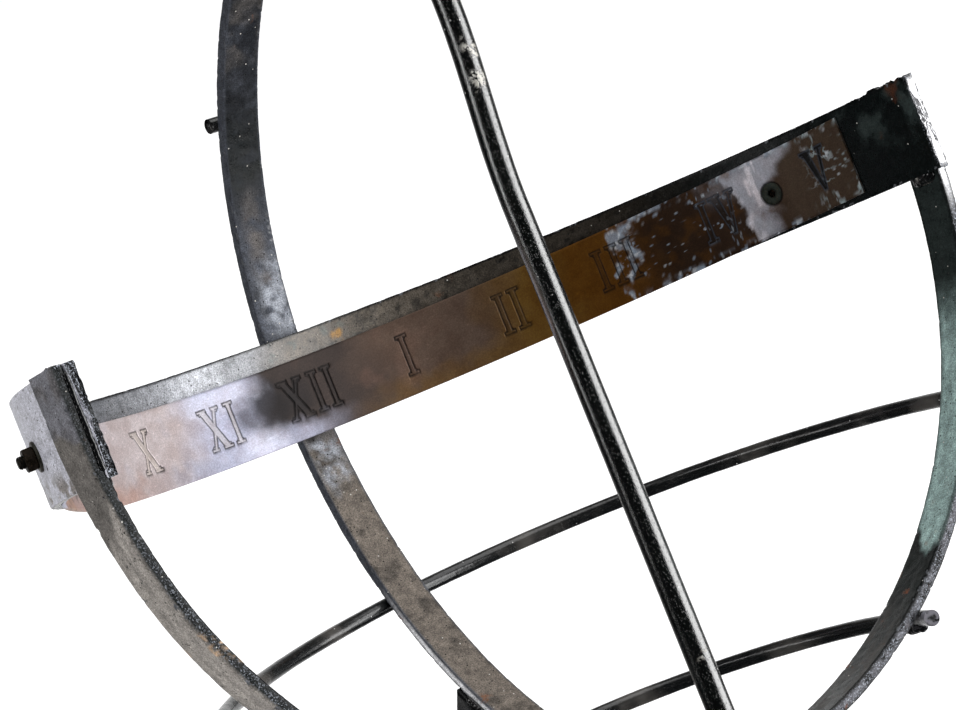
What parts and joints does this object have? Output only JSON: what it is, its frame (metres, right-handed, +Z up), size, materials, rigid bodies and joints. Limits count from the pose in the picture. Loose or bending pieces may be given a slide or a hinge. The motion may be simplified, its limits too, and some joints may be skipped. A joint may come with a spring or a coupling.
{
  "type": "armillary sundial",
  "caption": "Open welded iron armillary sundial: half-round hour band with engraved plate and gnomon rod in a tilted cage of half rings, turning on a clamped stem.",
  "frame": {"origin": "centre of the underside of the base flange, on the axis of the turning stem", "axes": "+Z up along the stem, +Y to north and the raised pole, +X to east (afternoon hours), -X to west (morning hours)"},
  "size_m": [0.502, 0.4286, 0.6514],
  "materials": {
    "iron_black": "pitted glossy black paint over rusted iron",
    "iron_weld": "lumpy painted weld bead",
    "copper_plate": "patinated copper alloy, engraved",
    "zinc_steel": "dull plated fasteners",
    "brass_pad": "turned brass"
  },
  "bodies": {
    "stand": {"base_flange": "iron_black", "socket_tube": "iron_black", "socket_weld": "iron_weld", "gussets": "iron_black", "clamp_boss": "iron_black"},
    "dial": {"hour_band": "iron_black", "hour_plate": "copper_plate", "plate_screws": "zinc_steel", "plate_washers": "zinc_steel", "plate_nuts": "zinc_steel", "meridian_ring": "iron_black", "east_west_half_ring": "iron_black", "gnomon_rod": "iron_black", "pole_spacer": "iron_black", "rod_stub": "iron_black", "rod_welds": "iron_weld", "band_end_welds": "iron_weld", "noon_welds": "iron_weld", "pole_welds": "iron_weld", "high_cage_rod": "iron_black", "low_cage_rod": "iron_black", "saddle_block": "iron_black", "saddle_welds": "iron_weld", "stem": "iron_black", "stem_collar": "iron_black", "stem_weld": "iron_weld"},
    "pad": {"clamp_pad": "brass_pad"},
    "clamp_screw": {"clamp_screw": "zinc_steel"},
    "tommy_bar": {"tommy_bar": "zinc_steel", "bar_knobs": "zinc_steel"}
  },
  "joints": [
    {"name": "dial_swivel", "type": "hinge", "parent": "stand", "child": "dial", "pos_m": [0, 0, 0.118], "axis": [0, 0, 1], "continuous": true},
    {"name": "pad_travel", "type": "slide", "parent": "stand", "child": "pad", "axis": [0, -1, 0], "range_m": [0, 0.006]},
    {"name": "clamp_turn", "type": "hinge", "parent": "pad", "child": "clamp_screw", "pos_m": [0, -0.04, 0.092], "axis": [0, -1, 0], "range_deg": [0, 1440]},
    {"name": "tommy_slide", "type": "slide", "parent": "clamp_screw", "child": "tommy_bar", "axis": [1, 0, 0], "range_m": [-0.018, 0.018]}
  ],
  "couplings": [
    {"joint": "pad_travel", "follows": "clamp_turn", "m_per_rad": 0.00023873}
  ]
}
